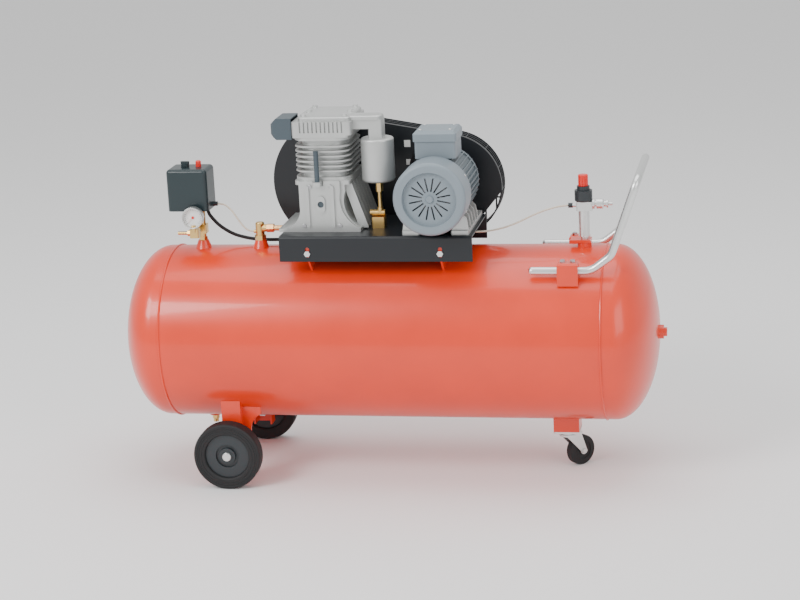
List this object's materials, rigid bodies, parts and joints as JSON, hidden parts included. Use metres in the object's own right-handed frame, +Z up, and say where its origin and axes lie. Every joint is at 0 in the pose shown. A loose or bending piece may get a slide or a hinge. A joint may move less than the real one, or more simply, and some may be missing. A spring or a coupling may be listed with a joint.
{
  "type": "hotdog air compressor",
  "caption": "Belt-driven piston air compressor on a long horizontal receiver, with wheels, a swivel caster, pressure switch, regulator and tow handle.",
  "frame": {"origin": "centre of the footprint on the floor, under the middle of the tank", "axes": "+X along the tank towards the tow handle and the regulator, -Y towards the side the motor fan faces, +Z up"},
  "size_m": [1.59, 0.4999, 1.063],
  "materials": {
    "red_paint": "gloss",
    "motor_paint": "satin",
    "black_paint": "satin",
    "iron": "satin",
    "cast_alu": "cast",
    "steel": "satin",
    "zinc": "zinc plated",
    "brass": "machined",
    "tyre": "matt",
    "red_plastic": "gloss",
    "black_plastic": "matt",
    "rubber": "matt",
    "wire": "satin",
    "copper": "copper"
  },
  "bodies": {
    "chassis": {"aftercooler": "cast_alu", "air_filter": "black_plastic", "base_plate": "black_paint", "bearings": "steel", "belt_guard_grille": "wire", "belt_guard_panel": "black_paint", "breather_tube": "cast_alu", "caster_pad": "red_paint", "caster_plate": "zinc", "check_valve": "brass", "connecting_rods": "cast_alu", "cooler_fittings": "brass", "coupler_body": "zinc", "crankcase": "cast_alu", "crankcase_cover": "cast_alu", "cylinder_block": "cast_alu", "cylinder_head": "cast_alu", "delivery_pipe": "copper", "discharge_manifold": "cast_alu", "drain_cock": "brass", "drive_belts": "rubber", "fan_cover": "motor_paint", "gauge_case": "black_plastic", "handle_clamps": "red_paint", "handle_tube": "zinc", "hex_bolts": "zinc", "motor_feet": "cast_alu", "motor_housing": "motor_paint", "motor_lead": "rubber", "outlet_riser": "zinc", "pistons": "cast_alu", "plate_saddles": "black_paint", "regulator_body": "black_plastic", "stator": "steel", "stub_axles": "zinc", "switch_case": "black_plastic", "switch_manifold": "brass", "tank_heads": "red_paint", "tank_shell": "red_paint", "terminal_box": "motor_paint", "thin_tubes": "black_plastic", "threaded_bosses": "red_paint", "tube_fittings": "black_plastic", "wheel_legs": "red_paint"},
    "wheel_front": {"tyre_front": "tyre", "wheel_hub_front": "black_plastic"},
    "wheel_rear": {"tyre_rear": "tyre", "wheel_hub_rear": "black_plastic"},
    "caster_swivel": {"caster_fork": "zinc"},
    "caster_roller": {"caster_wheel": "rubber"},
    "crank": {"crankshaft": "steel", "flywheel": "iron"},
    "motor_shaft": {"motor_rotor": "steel", "motor_pulley": "iron"},
    "switch_lever": {"switch_knob": "black_plastic"},
    "stop_plunger": {"stop_button": "red_plastic"},
    "needle": {"gauge_needle": "red_plastic"},
    "regulator_dial": {"regulator_knob": "red_plastic"},
    "coupler_ring": {"coupler_sleeve": "zinc"},
    "drain_valve": {"drain_knob": "brass"}
  },
  "joints": [
    {"name": "wheel_front_spin", "type": "hinge", "parent": "chassis", "child": "wheel_front", "pos_m": [-0.452, -0.2235, 0.098], "axis": [0, 1, 0], "continuous": true},
    {"name": "wheel_rear_spin", "type": "hinge", "parent": "chassis", "child": "wheel_rear", "pos_m": [-0.452, 0.2235, 0.098], "axis": [0, 1, 0], "continuous": true},
    {"name": "caster_turn", "type": "hinge", "parent": "chassis", "child": "caster_swivel", "pos_m": [0.505, 0, 0.1], "axis": [0, 0, 1], "continuous": true},
    {"name": "caster_wheel_spin", "type": "hinge", "parent": "caster_swivel", "child": "caster_roller", "pos_m": [0.53682, 0.03182, 0.044], "axis": [0.7071, -0.7071, 0], "continuous": true},
    {"name": "crank_spin", "type": "hinge", "parent": "chassis", "child": "crank", "pos_m": [-0.16, 0, 0.83], "axis": [0, 1, 0], "continuous": true},
    {"name": "motor_spin", "type": "hinge", "parent": "chassis", "child": "motor_shaft", "pos_m": [0.17, 0, 0.848], "axis": [0, 1, 0], "continuous": true},
    {"name": "switch_knob_turn", "type": "hinge", "parent": "chassis", "child": "switch_lever", "pos_m": [-0.586, 0.002, 0.9], "axis": [0, 0, 1], "range_deg": [0, 90]},
    {"name": "stop_button_press", "type": "slide", "parent": "chassis", "child": "stop_plunger", "axis": [0, 0, -1], "range_m": [0, 0.004], "stiffness_N_per_m": 400},
    {"name": "gauge_needle_turn", "type": "hinge", "parent": "chassis", "child": "needle", "pos_m": [-0.552, -0.075, 0.764], "axis": [0, 1, 0], "range_deg": [0, 270]},
    {"name": "regulator_knob_turn", "type": "hinge", "parent": "chassis", "child": "regulator_dial", "pos_m": [0.567, 0, 0.85], "axis": [0, 0, 1], "range_deg": [-720, 0]},
    {"name": "coupler_sleeve_pull", "type": "slide", "parent": "chassis", "child": "coupler_ring", "axis": [1, 0, 0], "range_m": [0, 0.005], "stiffness_N_per_m": 600},
    {"name": "drain_cock_turn", "type": "hinge", "parent": "chassis", "child": "drain_valve", "pos_m": [-0.547, 0, 0.13], "axis": [0, 0, 1], "range_deg": [0, 360]}
  ],
  "couplings": [
    {"joint": "motor_spin", "follows": "crank_spin", "ratio": 3.096}
  ]
}
